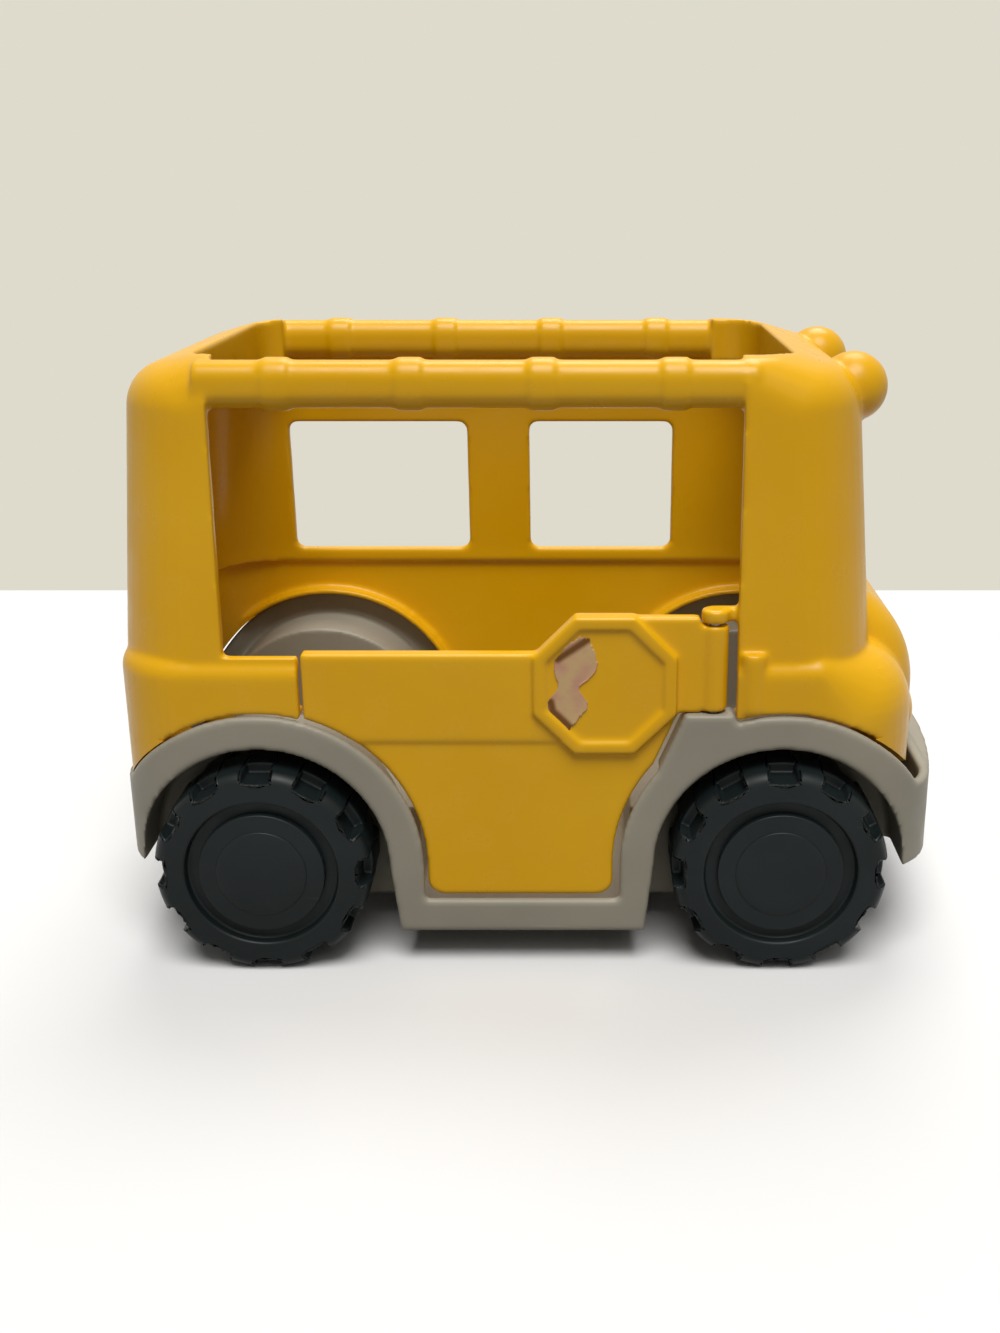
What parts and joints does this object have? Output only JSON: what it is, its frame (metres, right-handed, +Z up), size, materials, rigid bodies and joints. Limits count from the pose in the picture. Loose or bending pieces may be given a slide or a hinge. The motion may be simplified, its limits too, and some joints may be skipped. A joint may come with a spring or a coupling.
{
  "type": "toy bus",
  "caption": "Chunky open-top toy bus for small figures, with a tubular roof rail, a swinging side door with a bare octagonal sign, moulded wheel arches and rolling wheels.",
  "frame": {"origin": "on the ground under the middle of the bus, half way along its length and width", "axes": "+X forward along the bus, +Y to its left, so the door is on the -Y side, +Z up"},
  "size_m": [0.161, 0.096, 0.116],
  "materials": {
    "yellow_plastic": "injection moulded, smooth, lightly worn gloss",
    "grey_plastic": "injection moulded, smooth, satin",
    "black_plastic": "injection moulded, satin blue-black",
    "steel": "drawn rod, plain"
  },
  "bodies": {
    "bus_body": {"body_shell": "yellow_plastic", "chassis": "grey_plastic", "chassis_screws": "steel", "door_pin": "steel"},
    "door": {"side_door": "yellow_plastic"},
    "front_wheels": {"front_axle": "steel", "wheel_front_left": "black_plastic", "wheel_front_right": "black_plastic", "hub_cap_front_left": "black_plastic", "hub_cap_front_right": "black_plastic"},
    "rear_wheels": {"rear_axle": "steel", "wheel_rear_left": "black_plastic", "wheel_rear_right": "black_plastic", "hub_cap_rear_left": "black_plastic", "hub_cap_rear_right": "black_plastic"}
  },
  "joints": [
    {"name": "door_swing", "type": "hinge", "parent": "bus_body", "child": "door", "pos_m": [0.0327, -0.0418, 0.0601], "axis": [0, 0, 1], "range_deg": [0, 95]},
    {"name": "front_wheels_roll", "type": "hinge", "parent": "bus_body", "child": "front_wheels", "pos_m": [0.046, 0, 0.0206], "axis": [0, 1, 0], "continuous": true},
    {"name": "rear_wheels_roll", "type": "hinge", "parent": "bus_body", "child": "rear_wheels", "pos_m": [-0.0525, 0, 0.0206], "axis": [0, 1, 0], "continuous": true}
  ]
}
